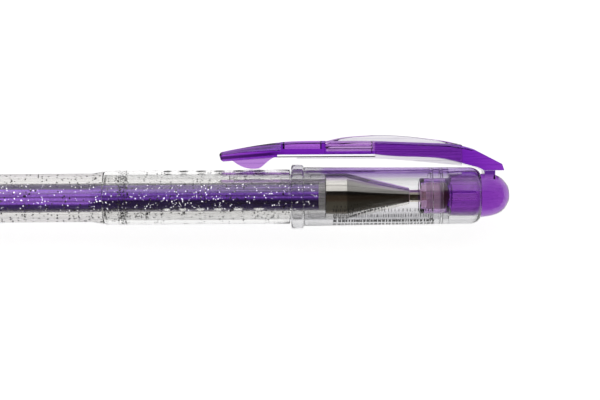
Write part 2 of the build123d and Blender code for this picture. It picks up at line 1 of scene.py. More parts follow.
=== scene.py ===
"""Looks of the capped gel pen: clear plastics, violet glitter ink, chrome cone and tinted clip.

Lengths in this script are millimetres, turned into metres where meshes are made. Only the studio's
floor, its lamps and the camera's range, at the end, are in metres. The pen lies along X with its
clip towards +Y, and the camera looks straight down at it. Angles round the pen start overhead, at
+Z, and grow towards +Y.
"""

import functools
import math
import random

import bmesh
import bpy
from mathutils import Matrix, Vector


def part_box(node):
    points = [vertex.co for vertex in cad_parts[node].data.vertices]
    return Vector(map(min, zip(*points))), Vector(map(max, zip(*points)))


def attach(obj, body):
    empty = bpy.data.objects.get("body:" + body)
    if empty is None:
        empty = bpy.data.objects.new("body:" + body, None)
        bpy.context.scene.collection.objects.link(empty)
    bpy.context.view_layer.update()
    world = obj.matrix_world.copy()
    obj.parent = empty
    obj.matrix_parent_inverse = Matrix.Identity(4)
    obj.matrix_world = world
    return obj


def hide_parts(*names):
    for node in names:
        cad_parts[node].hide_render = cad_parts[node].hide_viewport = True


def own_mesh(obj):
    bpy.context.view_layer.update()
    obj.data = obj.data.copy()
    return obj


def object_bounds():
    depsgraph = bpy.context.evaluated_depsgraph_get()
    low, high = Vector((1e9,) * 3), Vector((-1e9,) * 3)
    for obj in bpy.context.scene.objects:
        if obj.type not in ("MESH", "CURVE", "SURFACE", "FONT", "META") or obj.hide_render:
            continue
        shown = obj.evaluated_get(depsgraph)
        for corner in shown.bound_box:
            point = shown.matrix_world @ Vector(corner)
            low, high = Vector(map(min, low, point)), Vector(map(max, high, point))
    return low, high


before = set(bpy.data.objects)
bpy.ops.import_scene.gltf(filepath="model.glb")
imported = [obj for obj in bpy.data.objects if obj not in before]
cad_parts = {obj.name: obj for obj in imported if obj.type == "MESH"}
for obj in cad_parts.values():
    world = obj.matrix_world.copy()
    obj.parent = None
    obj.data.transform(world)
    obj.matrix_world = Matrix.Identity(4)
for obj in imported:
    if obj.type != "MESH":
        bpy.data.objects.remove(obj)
cad_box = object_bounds()

MM = 0.001
AROUND = 144  # segments round a turned piece
CORNER_TURN = math.radians(20)  # an outline that turns by less than this counts as smooth
CORNER_SHARE = 0.4  # most of an edge that one rounded corner may take


# ------------------------------------------------------------------ meshes
@functools.cache
def ends(node):
    """Lowest and highest x of a CAD node."""
    low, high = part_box(node)
    return low.x / MM, high.x / MM


@functools.cache
def widest(node):
    """Radius of a round CAD node, from its height."""
    low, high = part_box(node)
    return (high.z - low.z) / 2 / MM


def piece(name, points, faces, material, body, replaced=(), sharp=38):
    """A mesh object from points in millimetres, smooth but for its sharp edges."""
    mesh = bpy.data.meshes.new(name)
    mesh.from_pydata([Vector(point) * MM for point in points], [], faces)
    shaped = bmesh.new()
    shaped.from_mesh(mesh)
    bmesh.ops.recalc_face_normals(shaped, faces=shaped.faces)
    shaped.to_mesh(mesh)
    shaped.free()
    mesh.shade_smooth()
    mesh.set_sharp_from_angle(angle=math.radians(sharp))
    mesh.materials.append(material)
    thing = bpy.data.objects.new(name, mesh)
    bpy.context.scene.collection.objects.link(thing)
    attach(thing, body)
    if replaced:
        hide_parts(*replaced)
    return thing


def soften(profile, radius, steps=4):
    """Rounds the corners of a closed outline, other than those on the axis."""
    rounded = []
    for index, corner in enumerate(profile):
        here = Vector(corner)
        back = Vector(profile[index - 1]) - here
        ahead = Vector(profile[(index + 1) % len(profile)]) - here
        turn = math.pi - back.angle(ahead)
        if here.y < 1e-6 or turn < CORNER_TURN:
            rounded.append(corner)
            continue
        shorter = min(back.length, ahead.length)
        reach = min(radius * math.tan(turn / 2), CORNER_SHARE * shorter)
        start = here + back.normalized() * reach
        end = here + ahead.normalized() * reach
        for step in range(steps + 1):
            share = step / steps
            point = start * (1 - share) ** 2 + here * 2 * share * (1 - share) + end * share**2
            rounded.append((point.x, point.y))
    return rounded


def turned(profile, around=AROUND):
    """Points and faces of a closed outline of (x, radius) turned about the pen's axis."""
    points = []
    faces = []
    rings = []
    for x, r in profile:
        first = len(points)
        if r < 1e-6:
            points.append((x, 0, 0))
            rings.append([first] * around)
            continue
        for step in range(around):
            angle = 2 * math.pi * step / around
            points.append((x, r * math.sin(angle), r * math.cos(angle)))
        rings.append(list(range(first, first + around)))
    for ring, following in zip(rings, rings[1:] + rings[:1]):
        for step in range(around):
            after = (step + 1) % around
            corners = (ring[step], ring[after], following[after], following[step])
            corners = list(dict.fromkeys(corners))
            if len(corners) > 2:
                faces.append(corners)
    return points, faces


def joined(*meshes):
    """Points and faces of several meshes as one mesh."""
    points = []
    faces = []
    for more, more_faces in meshes:
        faces += [[corner + len(points) for corner in face] for face in more_faces]
        points += more
    return points, faces


# ------------------------------------------------------------------ shader nodes
WHITE = (1, 1, 1)


def material_base(name):
    """A new node material with its tree, its Principled shader and object coordinates."""
    material = bpy.data.materials.new(name)
    material.use_nodes = True
    tree = material.node_tree
    where = tree.nodes.new("ShaderNodeTexCoord").outputs["Object"]
    return material, tree, tree.nodes["Principled BSDF"], where


def place_of(material):
    """Tree and object coordinates of a finished material."""
    tree = material.node_tree
    return tree, tree.nodes.new("ShaderNodeTexCoord").outputs["Object"]


def noise(tree, where, scale, detail=3, stretch=(1, 1, 1)):
    """Value of a noise texture, stretched along the axes by a mapping."""
    mapping = tree.nodes.new("ShaderNodeMapping")
    mapping.inputs["Scale"].default_value = stretch
    tree.links.new(where, mapping.inputs["Vector"])
    texture = tree.nodes.new("ShaderNodeTexNoise")
    texture.inputs["Scale"].default_value = scale
    texture.inputs["Detail"].default_value = detail
    tree.links.new(mapping.outputs["Vector"], texture.inputs["Vector"])
    return texture.outputs["Fac"]


def ramp(tree, value, stops):
    """Colour ramp driven by a value; stops are (place, colour)."""
    node = tree.nodes.new("ShaderNodeValToRGB")
    elements = node.color_ramp.elements
    while len(elements) < len(stops):
        elements.new(0.5)
    for element, (place, colour) in zip(elements, stops):
        element.position = place
        element.color = (*colour, 1)
    tree.links.new(value, node.inputs["Fac"])
    return node.outputs["Color"]


def spread(tree, value, low, high):
    """Maps a 0 to 1 value onto low to high."""
    node = tree.nodes.new("ShaderNodeMapRange")
    node.inputs["To Min"].default_value = low
    node.inputs["To Max"].default_value = high
    tree.links.new(value, node.inputs["Value"])
    return node.outputs["Result"]


def progress(tree, where, axis, start, end):
    """0 before start and 1 after end, in millimetres along an axis of the object coordinates."""
    parts = tree.nodes.new("ShaderNodeSeparateXYZ")
    tree.links.new(where, parts.inputs["Vector"])
    node = tree.nodes.new("ShaderNodeMapRange")
    node.inputs["From Min"].default_value = start * MM
    node.inputs["From Max"].default_value = end * MM
    tree.links.new(parts.outputs[axis], node.inputs["Value"])
    return node.outputs["Result"]


def bump(tree, value, strength, distance):
    """Bump normal from a value, with its height in millimetres."""
    node = tree.nodes.new("ShaderNodeBump")
    node.inputs["Strength"].default_value = strength
    node.inputs["Distance"].default_value = distance * MM
    tree.links.new(value, node.inputs["Height"])
    return node.outputs["Normal"]


def multiplied(tree, colour, other):
    """Product of two colours."""
    node = tree.nodes.new("ShaderNodeMix")
    node.data_type = "RGBA"
    node.blend_type = "MULTIPLY"
    node.inputs["Factor"].default_value = 1.0
    tree.links.new(colour, node.inputs[6])
    tree.links.new(other, node.inputs[7])
    return node.outputs[2]


def blended(tree, value, colour, other):
    """Colour that goes from the first to the second as value goes from 0 to 1."""
    node = tree.nodes.new("ShaderNodeMix")
    node.data_type = "RGBA"
    tree.links.new(value, node.inputs["Factor"])
    for socket, source in ((node.inputs[6], colour), (node.inputs[7], other)):
        if isinstance(source, tuple):
            socket.default_value = (*source, 1)
        else:
            tree.links.new(source, socket)
    return node.outputs[2]


def shaded(material, shade):
    """Multiplies a material's base colour, and its glow's if it has one, by a second colour."""
    tree = material.node_tree
    for name in ("Base Color", "Emission Color"):
        target = tree.nodes["Principled BSDF"].inputs[name]
        if target.is_linked:
            tree.links.new(multiplied(tree, target.links[0].from_socket, shade), target)


# ------------------------------------------------------------------ kinds of material
RIM_START = 0.08  # how far a clear wall faces away where its painted grey shade starts
RIM_FULL = 0.26  # and where that painted shade is full
GRIP_RIM_X = (68.0, 72.0)  # where the barrel's painted rim shade changes to the one that it has under the grip
CLIP_LIGHT_X = (109.5, 111.0)  # where the cap's painted light from the clip starts, ahead of its snap
CLIP_LIGHT_Y = (3.9, 4.4)  # and how high on the side towards the clip
SCATTER_REACH = 0.6


def rim_shade(tree, facing, rim):
    """White where a surface faces the eye and the rim's grey, a painted shade, where it faces away.
    """
    return ramp(tree, facing, [(RIM_START, WHITE), (RIM_FULL, rim)])


def clear_plastic(
    name,
    bright,
    dim,
    rough,
    wave=0.004,
    density=0.0,
    absorbed=None,
    ior=1.49,
    gloss=0.5,
    rim=None,
    clip_light=None,
    rim_under_grip=None,
):
    """Clear or tinted moulded plastic. absorbed is the colour that passes, per density.

    rim is the grey of a painted shade that the plastic takes at grazing angles, and
    rim_under_grip takes its place forward of the grip's rear end. The colour for the side towards
    the clip is painted light that the violet clip casts and reflects on the plastic, forward of the
    cap's snap.
    """
    material, tree, shader, where = material_base(name)
    flow = noise(tree, where, scale=420, detail=4, stretch=(0.12, 1, 1))
    streak = noise(tree, where, scale=3600, stretch=(0.01, 1, 1))
    fine = noise(tree, where, scale=2200, detail=2)
    colour = ramp(tree, streak, [(0.4, dim), (0.5, bright)])
    # Painted shade: the wall greys as it turns away from the eye.
    if rim:
        layer = tree.nodes.new("ShaderNodeLayerWeight")
        layer.inputs["Blend"].default_value = 0.5
        facing = layer.outputs["Facing"]
        shade = rim_shade(tree, facing, rim)
        if rim_under_grip:
            under_grip = progress(tree, where, "X", *GRIP_RIM_X)
            shade = blended(tree, under_grip, shade, rim_shade(tree, facing, rim_under_grip))
        colour = multiplied(tree, colour, shade)
    # Painted light: the clip's violet, cast and reflected on the side towards it.
    if clip_light:
        painted_clip_light = ramp(tree, progress(tree, where, "Y", *CLIP_LIGHT_Y), [(0, WHITE), (1, clip_light)])
        forward = progress(tree, where, "X", *CLIP_LIGHT_X)
        colour = multiplied(tree, colour, blended(tree, forward, WHITE, painted_clip_light))
    tree.links.new(colour, shader.inputs["Base Color"])
    tree.links.new(spread(tree, fine, rough * 0.5, rough * 1.5), shader.inputs["Roughness"])
    tree.links.new(bump(tree, flow, strength=1.0, distance=wave), shader.inputs["Normal"])
    shader.inputs["Transmission Weight"].default_value = 1.0
    shader.inputs["IOR"].default_value = ior
    shader.inputs["Specular IOR Level"].default_value = gloss
    if density:
        volume = tree.nodes.new("ShaderNodeVolumeAbsorption")
        volume.inputs["Color"].default_value = (*absorbed, 1)
        volume.inputs["Density"].default_value = density
        tree.links.new(volume.outputs["Volume"], tree.nodes["Material Output"].inputs["Volume"])
    return material


def metal(name, bright, dim, rough, mark_height=0.0005):
    """Turned and polished metal with faint marks round the axis."""
    material, tree, shader, where = material_base(name)
    marks = noise(tree, where, scale=5200, stretch=(1, 0.04, 0.04))
    cloud = noise(tree, where, scale=260)
    tree.links.new(ramp(tree, cloud, [(0.35, dim), (0.65, bright)]), shader.inputs["Base Color"])
    tree.links.new(spread(tree, marks, rough * 0.6, rough * 1.5), shader.inputs["Roughness"])
    tree.links.new(bump(tree, marks, strength=0.6, distance=mark_height), shader.inputs["Normal"])
    shader.inputs["Metallic"].default_value = 1.0
    return material


def soft_solid(name, bright, dim, rough, scale=900, scatter=0.0, wave=0.004, glow=0.0):
    """Opaque or slightly translucent material with mottled colour and a fine surface."""
    material, tree, shader, where = material_base(name)
    mottle = noise(tree, where, scale, detail=4)
    colour = ramp(tree, mottle, [(0.35, dim), (0.65, bright)])
    tree.links.new(colour, shader.inputs["Base Color"])
    # A glow, where asked for, is painted light: the material shines with its own colour though it is
    # no lamp.
    if glow:
        tree.links.new(colour, shader.inputs["Emission Color"])
        shader.inputs["Emission Strength"].default_value = glow
    tree.links.new(spread(tree, mottle, rough * 0.8, rough * 1.2), shader.inputs["Roughness"])
    tree.links.new(bump(tree, mottle, strength=1.0, distance=wave), shader.inputs["Normal"])
    if scatter:
        shader.inputs["Subsurface Weight"].default_value = scatter
        shader.inputs["Subsurface Scale"].default_value = SCATTER_REACH * MM
        shader.inputs["Subsurface Radius"].default_value = (1.0, 0.5, 0.9)
    return material


# ------------------------------------------------------------------ ink
# Ink colours: lilac and violet for the band of painted light, deep violet for the painted shade
# between; all of them glow.
INK_DEEP = (0.04, 0.014, 0.12)
INK_VIOLET = (0.27, 0.1, 0.6)
INK_LILAC = (0.44, 0.2, 0.84)
# Painted shade that dulls the ink under the grip's sleeve.
INK_SHADE_UNDER_GRIP = (0.5, 0.42, 0.62)
INK_GRIP_X = (65.5, 68.5)  # where the ink changes to its look under the grip
PAINTED_LIGHT_SIDE = (0, 0.1, 0.995)  # direction that the side with the band of painted light faces
PAINTED_LIGHT_SIDE_UNDER_GRIP = (0, 0.42, 0.907)
PAINTED_LIGHT_WAVE = 0.16  # how much the ink's flow moves the edges of the band of painted light


def painted_light_band(tree, where, under_grip):
    """How much painted light the ink takes: most on its lit side and on the side opposite."""
    side = tree.nodes.new("ShaderNodeMix")
    side.data_type = "VECTOR"
    tree.links.new(under_grip, side.inputs["Factor"])
    side.inputs[4].default_value = PAINTED_LIGHT_SIDE
    side.inputs[5].default_value = PAINTED_LIGHT_SIDE_UNDER_GRIP
    facing = tree.nodes.new("ShaderNodeVectorMath")
    facing.operation = "DOT_PRODUCT"
    tree.links.new(where.node.outputs["Normal"], facing.inputs[0])
    tree.links.new(side.outputs[1], facing.inputs[1])
    both_sides = tree.nodes.new("ShaderNodeMath")
    both_sides.operation = "ABSOLUTE"
    tree.links.new(facing.outputs["Value"], both_sides.inputs[0])
    waved = tree.nodes.new("ShaderNodeMath")
    waved.operation = "MULTIPLY_ADD"
    flow = noise(tree, where, scale=900, detail=4, stretch=(0.03, 1, 1))
    tree.links.new(flow, waved.inputs[0])
    waved.inputs[1].default_value = PAINTED_LIGHT_WAVE
    tree.links.new(both_sides.outputs["Value"], waved.inputs[2])
    return waved.outputs["Value"]


def ink_with_painted_light(name):
    """Violet gel with a band of painted light on two sides and painted shade between them, all
    glowing; under the grip the band turns and painted shade dulls it.
    """
    material, tree, shader, where = material_base(name)
    under_grip = progress(tree, where, "X", *INK_GRIP_X)
    grain = noise(tree, where, scale=5200, detail=2)
    lines = noise(tree, where, scale=3000, stretch=(0.006, 1, 1))
    painted_light_stops = [(0.85, INK_DEEP), (0.93, INK_VIOLET), (1.0, INK_LILAC)]
    colour = ramp(tree, painted_light_band(tree, where, under_grip), painted_light_stops)
    colour = multiplied(tree, colour, ramp(tree, grain, [(0.35, (0.6, 0.6, 0.6)), (0.65, WHITE)]))
    colour = multiplied(tree, colour, ramp(tree, lines, [(0.42, (0.4, 0.4, 0.4)), (0.56, WHITE)]))
    # Painted shade under the grip.
    colour = multiplied(tree, colour, ramp(tree, under_grip, [(0, WHITE), (1, INK_SHADE_UNDER_GRIP)]))
    tree.links.new(colour, shader.inputs["Base Color"])
    # The ink glows with its colour, painted light and shade included: the glow is painted light too.
    tree.links.new(colour, shader.inputs["Emission Color"])
    shader.inputs["Emission Strength"].default_value = 1.0
    tree.links.new(spread(tree, grain, 0.2, 0.4), shader.inputs["Roughness"])
    tree.links.new(bump(tree, grain, strength=0.6, distance=0.004), shader.inputs["Normal"])
    return material


# ------------------------------------------------------------------ clip, crown and seal
CLIP_PASSES = (0.6, 0.08, 0.8)  # colour of the light that comes through the clip
CLIP_PAINTED_LIGHT = (0.74, 0.53, 0.98)  # painted light: the violet that the clip beside it casts and reflects on the cap's wall
CLIP_DEEP_END = (0.2, 0.06, 0.2)  # shade of the free end's thick edge
CLIP_DEEP_END_X = (91.1, 91.5)
CLIP_LIP_SHADE = (0.3, 0.15, 0.4)
CLIP_LIP_Y = (7.66, 7.72)
CLIP_LIP_START_X = (101.8, 101.9)
CLIP_LIP_END_X = (120.5, 120.7)
# The bar's side facets near its free end climb with it: their height is Y less the climb.
FACET_CLIMB = 0.0758  # along Y, per millimetre along X
FACET_FOOT = -0.155
FACET_TOP = 2.345
FACET_FADE_X = (100.5, 103.5)
FACET_SHADE_LINE = (0.22, 0.2, 0.25)  # painted shade line between two facets
# Painted shade across the facets from their foot to their top, left off where their highlight line
# lies.
FACET_BANDS = [
    (0.0, (0.8, 0.75, 0.85)),
    (0.14, (0.7, 0.6, 0.8)),
    (0.2, FACET_SHADE_LINE),
    (0.36, FACET_SHADE_LINE),
    (0.44, (0.9, 0.9, 0.95)),
    (0.52, WHITE),
    (0.68, WHITE),
    (0.76, (0.5, 0.5, 0.52)),
    (1.0, (0.36, 0.4, 0.32)),
]
CROWN_PASSES = (0.63, 0.2, 0.79)
# Painted shade on the crown's side under the clip.
CROWN_NECK_SHADE = (0.3, 0.2, 0.45)
CROWN_NECK_Y = (3.0, 4.2)
SEAL_BACK_SHADE = (0.12, 0.05, 0.08)
SEAL_BACK_X = (132.7, 133.4)


def facet_shade(tree, where):
    """Painted shade in lines across the facets near the clip's free end, fading out towards its
    middle.
    """
    climb = tree.nodes.new("ShaderNodeVectorMath")
    climb.operation = "DOT_PRODUCT"
    tree.links.new(where, climb.inputs[0])
    climb.inputs[1].default_value = (-FACET_CLIMB, 1, 0)
    height = tree.nodes.new("ShaderNodeMapRange")
    height.inputs["From Min"].default_value = FACET_FOOT * MM
    height.inputs["From Max"].default_value = FACET_TOP * MM
    tree.links.new(climb.outputs["Value"], height.inputs["Value"])
    facets = ramp(tree, height.outputs["Result"], FACET_BANDS)
    return blended(tree, progress(tree, where, "X", *FACET_FADE_X), facets, WHITE)


def lip_shade(tree, where):
    """Painted shade line along the clip's thin lower lip, between the free end and the far end of its
    recess.
    """
    above_lip = progress(tree, where, "Y", *CLIP_LIP_Y)
    lip = ramp(tree, above_lip, [(0, CLIP_LIP_SHADE), (1, WHITE)])
    lip = blended(tree, progress(tree, where, "X", *CLIP_LIP_END_X), lip, WHITE)
    return blended(tree, progress(tree, where, "X", *CLIP_LIP_START_X), WHITE, lip)


def tinted_clip(name):
    """Violet plastic of the clip's bar, with painted shade on its facets, its free end and its lower
    lip.
    """
    dim = (0.8, 0.76, 0.86)
    material = clear_plastic(name, WHITE, dim, 0.02, density=880, absorbed=CLIP_PASSES)
    tree, where = place_of(material)
    past_end = progress(tree, where, "X", *CLIP_DEEP_END_X)
    shaded(material, facet_shade(tree, where))
    shaded(material, ramp(tree, past_end, [(0, CLIP_DEEP_END), (1, WHITE)]))
    shaded(material, lip_shade(tree, where))
    return material


def tinted_crown(name):
    """Violet plastic of the crown, darker in its neck under the clip than in its dome, as painted
    shade.
    """
    dim = (0.84, 0.8, 0.9)
    material = clear_plastic(name, WHITE, dim, 0.03, density=500, absorbed=CROWN_PASSES)
    tree, where = place_of(material)
    in_neck = progress(tree, where, "Y", *CROWN_NECK_Y)
    shaded(material, ramp(tree, in_neck, [(0, WHITE), (1, CROWN_NECK_SHADE)]))
    return material


def pink_seal(name):
    """Soft pink plug of the cap, with painted shade at its back, where the crown's cup closes round
    it, and a faint glow of painted light.
    """
    bright = (0.95, 0.74, 0.86)
    dim = (0.88, 0.6, 0.76)
    material = soft_solid(name, bright, dim, 0.35, scale=600, scatter=0.4, glow=0.22)
    tree, where = place_of(material)
    at_back = progress(tree, where, "X", *SEAL_BACK_X)
    shaded(material, ramp(tree, at_back, [(0, WHITE), (1, SEAL_BACK_SHADE)]))
    return material


# ------------------------------------------------------------------ materials
clear_barrel = clear_plastic(
    "clear_barrel",
    bright=(0.98, 0.975, 0.965),
    dim=(0.7, 0.695, 0.69),
    rough=0.02,
    gloss=0.22,
    rim=(0.62, 0.61, 0.6),
    rim_under_grip=(0.82, 0.82, 0.82),
)
soft_clear = clear_plastic(
    "soft_clear",
    bright=(0.99, 0.99, 0.985),
    dim=(0.92, 0.92, 0.92),
    rough=0.05,
    ior=1.47,
    gloss=0.12,
    rim=(0.92, 0.92, 0.92),
)
clear_cap = clear_plastic(
    "clear_cap",
    bright=(0.97, 0.97, 0.97),
    dim=(0.84, 0.84, 0.845),
    rough=0.015,
    gloss=0.3,
    rim=(0.62, 0.62, 0.64),
    clip_light=CLIP_PAINTED_LIGHT,
)
clear_lens = clear_plastic("clear_lens", (0.76, 0.74, 0.79), (0.6, 0.58, 0.63), 0.015)
clear_tube = clear_plastic("clear_tube", WHITE, (0.98, 0.98, 0.985), 0.04, gloss=0.25)
grease = clear_plastic("grease", (0.99, 0.98, 0.94), (0.96, 0.94, 0.88), 0.05, wave=0.01, ior=1.42)
violet_clip = tinted_clip("violet_clip")
violet_crown = tinted_crown("violet_crown")
ink_violet = ink_with_painted_light("ink_violet")
seal_pink = pink_seal("seal_pink")
# The white holder's faint glow is painted light.
holder_white = soft_solid(
    "holder_white", (0.88, 0.87, 0.85), (0.8, 0.79, 0.77), 0.4, scatter=0.2, glow=0.14
)
print_grey = soft_solid("print_grey", (0.05, 0.05, 0.06), (0.02, 0.02, 0.03), 0.5, scale=1500)
chrome = metal("chrome", (0.83, 0.82, 0.8), (0.78, 0.77, 0.74), 0.05)
nickel = metal("nickel", (0.72, 0.68, 0.62), (0.62, 0.58, 0.52), 0.16, mark_height=0.001)
steel = metal("steel", (0.7, 0.7, 0.71), (0.58, 0.58, 0.6), 0.2)
# The glitter's strong glow is a painted glint.
silver_flake = soft_solid("silver_flake", WHITE, (0.9, 0.88, 0.97), 0.2, scale=1500, glow=1.8)
dark_flake = soft_solid("dark_flake", (0.2, 0.18, 0.19), (0.05, 0.045, 0.045), 0.4, scale=1500)


# ------------------------------------------------------------------ barrel
BARREL_R = 4.7
SHOULDER_X = 66.0
SHOULDER_STEPS = 12
BORE_R = 2.85
NOSE_R = 4.4
SPIGOT_R = 3.6
SPIGOT_BEVEL = 0.2
CONE_SEAT_X = 111.0
GRIP_SEAT_X = 68.6
GROOVE_X0 = 71.7  # groove that locks the grip's sleeve
GROOVE_X1 = 72.8
GROOVE_R = 4.05
RIDGE_X = 107.4  # ridge that the cap's bead snaps over
RIDGE_HALF_LENGTH = 0.5
RIDGE_R = 4.53


def make_barrel():
    """Thick clear tube with its shoulder, grip seat, locking groove, cap ridge and spigot."""
    x0, x1 = ends("barrel")
    flare = widest("barrel") - BARREL_R
    profile = [(x0, BORE_R), (x0, BARREL_R)]
    for step in range(SHOULDER_STEPS + 1):
        share = step / SHOULDER_STEPS
        rise = flare * (1 - math.cos(math.pi * share)) / 2
        profile.append((SHOULDER_X + (GRIP_SEAT_X - SHOULDER_X) * share, BARREL_R + rise))
    profile += [
        (GRIP_SEAT_X, NOSE_R),
        (GROOVE_X0, NOSE_R),
        (GROOVE_X0, GROOVE_R),
        (GROOVE_X1, GROOVE_R),
        (GROOVE_X1, NOSE_R),
        (RIDGE_X - RIDGE_HALF_LENGTH, NOSE_R),
        (RIDGE_X, RIDGE_R),
        (RIDGE_X + RIDGE_HALF_LENGTH, NOSE_R),
        (CONE_SEAT_X, NOSE_R),
        (CONE_SEAT_X, SPIGOT_R),
        (x1 - SPIGOT_BEVEL, SPIGOT_R),
        (x1, SPIGOT_R - SPIGOT_BEVEL),
        (x1, BORE_R),
    ]
    points, faces = turned(soften(profile, radius=0.12))
    piece("barrel_tube", points, faces, clear_barrel, "barrel", ["barrel"])


# ------------------------------------------------------------------ grip
GRIP_AROUND = 288  # segments round the sleeve, enough for its dimples
GRIP_BORE_R = NOSE_R + 0.03
GRIP_REAR_ROUNDING = 0.35
GRIP_REAR_STEPS = 6
GRIP_FRONT_EDGE = ((0.12, 0), (0.05, 0.03), (0, 0.12))  # behind the front, and below the radius
DIMPLE_GRID = 0.15  # step of the sleeve's rings where it has dimples
DIMPLE_GRID_X0 = 79.6
DIMPLE_GRID_X1 = 100.6
DIMPLE_ROW_ANGLE = math.radians(-22)  # of one row; the others follow at equal steps
DIMPLE_ROW_STEP = math.pi / 2
DIMPLES_IN_ROW = 6
DIMPLE_FIRST_X = 80.9
DIMPLE_PITCH = 3.1  # from the first dimple to the second
DIMPLE_PITCH_GROWTH = 0.2  # by which each later step is longer
DIMPLE_HALF_LENGTH = 0.85
DIMPLE_GROWTH = 0.09  # by which each later dimple's half length is longer
DIMPLE_HALF_WIDTH = 0.6
DIMPLE_DEPTH = 0.13


def grip_dimples(x, angle, radius):
    """Depth of the grip's surface below its cylinder at x and at an angle round the pen."""
    row = (angle - DIMPLE_ROW_ANGLE) / DIMPLE_ROW_STEP
    across = (row - round(row)) * DIMPLE_ROW_STEP * radius / DIMPLE_HALF_WIDTH
    centre = DIMPLE_FIRST_X
    depth = 0.0
    for number in range(DIMPLES_IN_ROW):
        along = (x - centre) / (DIMPLE_HALF_LENGTH + DIMPLE_GROWTH * number)
        depth = max(depth, DIMPLE_DEPTH * (1 - along * along - across * across))
        centre += DIMPLE_PITCH + DIMPLE_PITCH_GROWTH * number
    return depth


def grip_outline(x0, x1, radius):
    """Stations of the sleeve as (x, radius): round at its rear, fine at the dimples, square ahead."""
    rounding = GRIP_REAR_ROUNDING
    outline = []
    for step in range(GRIP_REAR_STEPS + 1):
        angle = math.pi / 2 * step / GRIP_REAR_STEPS
        outline.append(
            (x0 + rounding * (1 - math.cos(angle)), radius - rounding * (1 - math.sin(angle)))
        )
    x = DIMPLE_GRID_X0
    while x < DIMPLE_GRID_X1:
        outline.append((x, radius))
        x += DIMPLE_GRID
    outline += [(x1 - behind, radius - below) for behind, below in GRIP_FRONT_EDGE]
    outline += [(x1, GRIP_BORE_R), (x0, GRIP_BORE_R)]
    return outline


def make_grip():
    """Soft sleeve: a fine grid outside, pressed in at the dimples, and a plain bore."""
    x0, x1 = ends("grip_sleeve")
    radius = widest("grip_sleeve")
    outline = grip_outline(x0, x1, radius)
    points = []
    faces = []
    for x, r in outline:
        for step in range(GRIP_AROUND):
            angle = 2 * math.pi * step / GRIP_AROUND
            sunk = grip_dimples(x, angle, radius) if r == radius else 0
            points.append((x, (r - sunk) * math.sin(angle), (r - sunk) * math.cos(angle)))
    for row in range(len(outline)):
        here = row * GRIP_AROUND
        there = (row + 1) % len(outline) * GRIP_AROUND
        for step in range(GRIP_AROUND):
            after = (step + 1) % GRIP_AROUND
            faces.append((here + step, here + after, there + after, there + step))
    piece("grip_sleeve_soft", points, faces, soft_clear, "barrel", ["grip_sleeve"])


# ------------------------------------------------------------------ tail
TAIL_VENT_R = 0.6
TAIL_ROUNDING = 1.6
TAIL_STEPS = 6
TAIL_SPIGOT_R = BORE_R - 0.04
TAIL_SPIGOT_BEVEL = 0.5


def make_tail_plug():
    """Tinted plug: rounded button, plain spigot with a bevelled end, and a vent."""
    x0, x1 = ends("tail_plug")
    flat = widest("tail_plug") - TAIL_ROUNDING
    profile = [(x0, TAIL_VENT_R), (x0, flat)]
    for step in range(1, TAIL_STEPS + 1):
        angle = math.pi / 2 * step / TAIL_STEPS
        profile.append(
            (x0 + TAIL_ROUNDING * (1 - math.cos(angle)), flat + TAIL_ROUNDING * math.sin(angle))
        )
    profile += [
        (0, flat + TAIL_ROUNDING),
        (0, TAIL_SPIGOT_R),
        (x1 - TAIL_SPIGOT_BEVEL, TAIL_SPIGOT_R),
        (x1, TAIL_SPIGOT_R - TAIL_SPIGOT_BEVEL),
        (x1, TAIL_VENT_R),
    ]
    points, faces = turned(soften(profile, radius=0.08))
    piece("tail_plug_button", points, faces, violet_crown, "barrel", ["tail_plug"])


# ------------------------------------------------------------------ flakes
FLAKE_SIDES = 6
FLAKE_THICKNESS = 0.012
SPECK_SEED = 41
SPECK_TILT = 60
# Layers of specks: how many, their X, their distance from the axis, their size and thickness.
SPECK_LAYERS = (
    (900, (1, 104), (2.95, 4.25), (0.1, 0.19), 0.2),  # in the barrel's wall
    (240, (71.5, 73.4), (4.0, 5.0), (0.08, 0.16), 0.16),  # in the sleeve's locking band
    (520, (69, 103), (4.5, 5.05), (0.07, 0.14), 0.14),  # in the rest of the sleeve
)


def flakes(rng, count, x_range, r_range, size_range, tilt, thick=FLAKE_THICKNESS):
    """Points and faces of small six-sided flakes scattered round the axis.

    tilt is how many degrees a flake may lean from facing straight out, both ways.
    """
    points = []
    faces = []
    along = Vector((1, 0, 0))
    for _ in range(count):
        x = rng.uniform(*x_range)
        angle = rng.uniform(0, 2 * math.pi)
        r = math.sqrt(rng.uniform(r_range[0] ** 2, r_range[1] ** 2))
        outward = Vector((0, math.sin(angle), math.cos(angle)))
        lean = math.radians(rng.uniform(-tilt, tilt))
        lean_too = math.radians(rng.uniform(-tilt, tilt))
        normal = outward + along * math.tan(lean) + outward.cross(along) * math.tan(lean_too)
        normal.normalize()
        side = normal.cross(along).normalized()
        other = normal.cross(side)
        centre = Vector((x, 0, 0)) + outward * r
        size = rng.uniform(*size_range)
        bottom = len(points)
        top = bottom + FLAKE_SIDES
        for level in (-thick / 2, thick / 2):
            for step in range(FLAKE_SIDES):
                turn = 2 * math.pi * step / FLAKE_SIDES
                corner = side * math.cos(turn) * size + other * math.sin(turn) * size
                points.append(centre + corner + normal * level)
        faces.append([bottom + step for step in range(FLAKE_SIDES)][::-1])
        faces.append([top + step for step in range(FLAKE_SIDES)])
        for step in range(FLAKE_SIDES):
            after = (step + 1) % FLAKE_SIDES
            faces.append((bottom + step, bottom + after, top + after, top + step))
    return points, faces


def make_barrel_specks():
    """Fine dark specks in the barrel's and the sleeve's plastic, thicker in the locking band."""
    rng = random.Random(SPECK_SEED)
    layers = [
        flakes(rng, count, x_range, r_range, size_range, SPECK_TILT, thick)
        for count, x_range, r_range, size_range, thick in SPECK_LAYERS
    ]
    points, faces = joined(*layers)
    piece("barrel_specks", points, faces, dark_flake, "barrel")


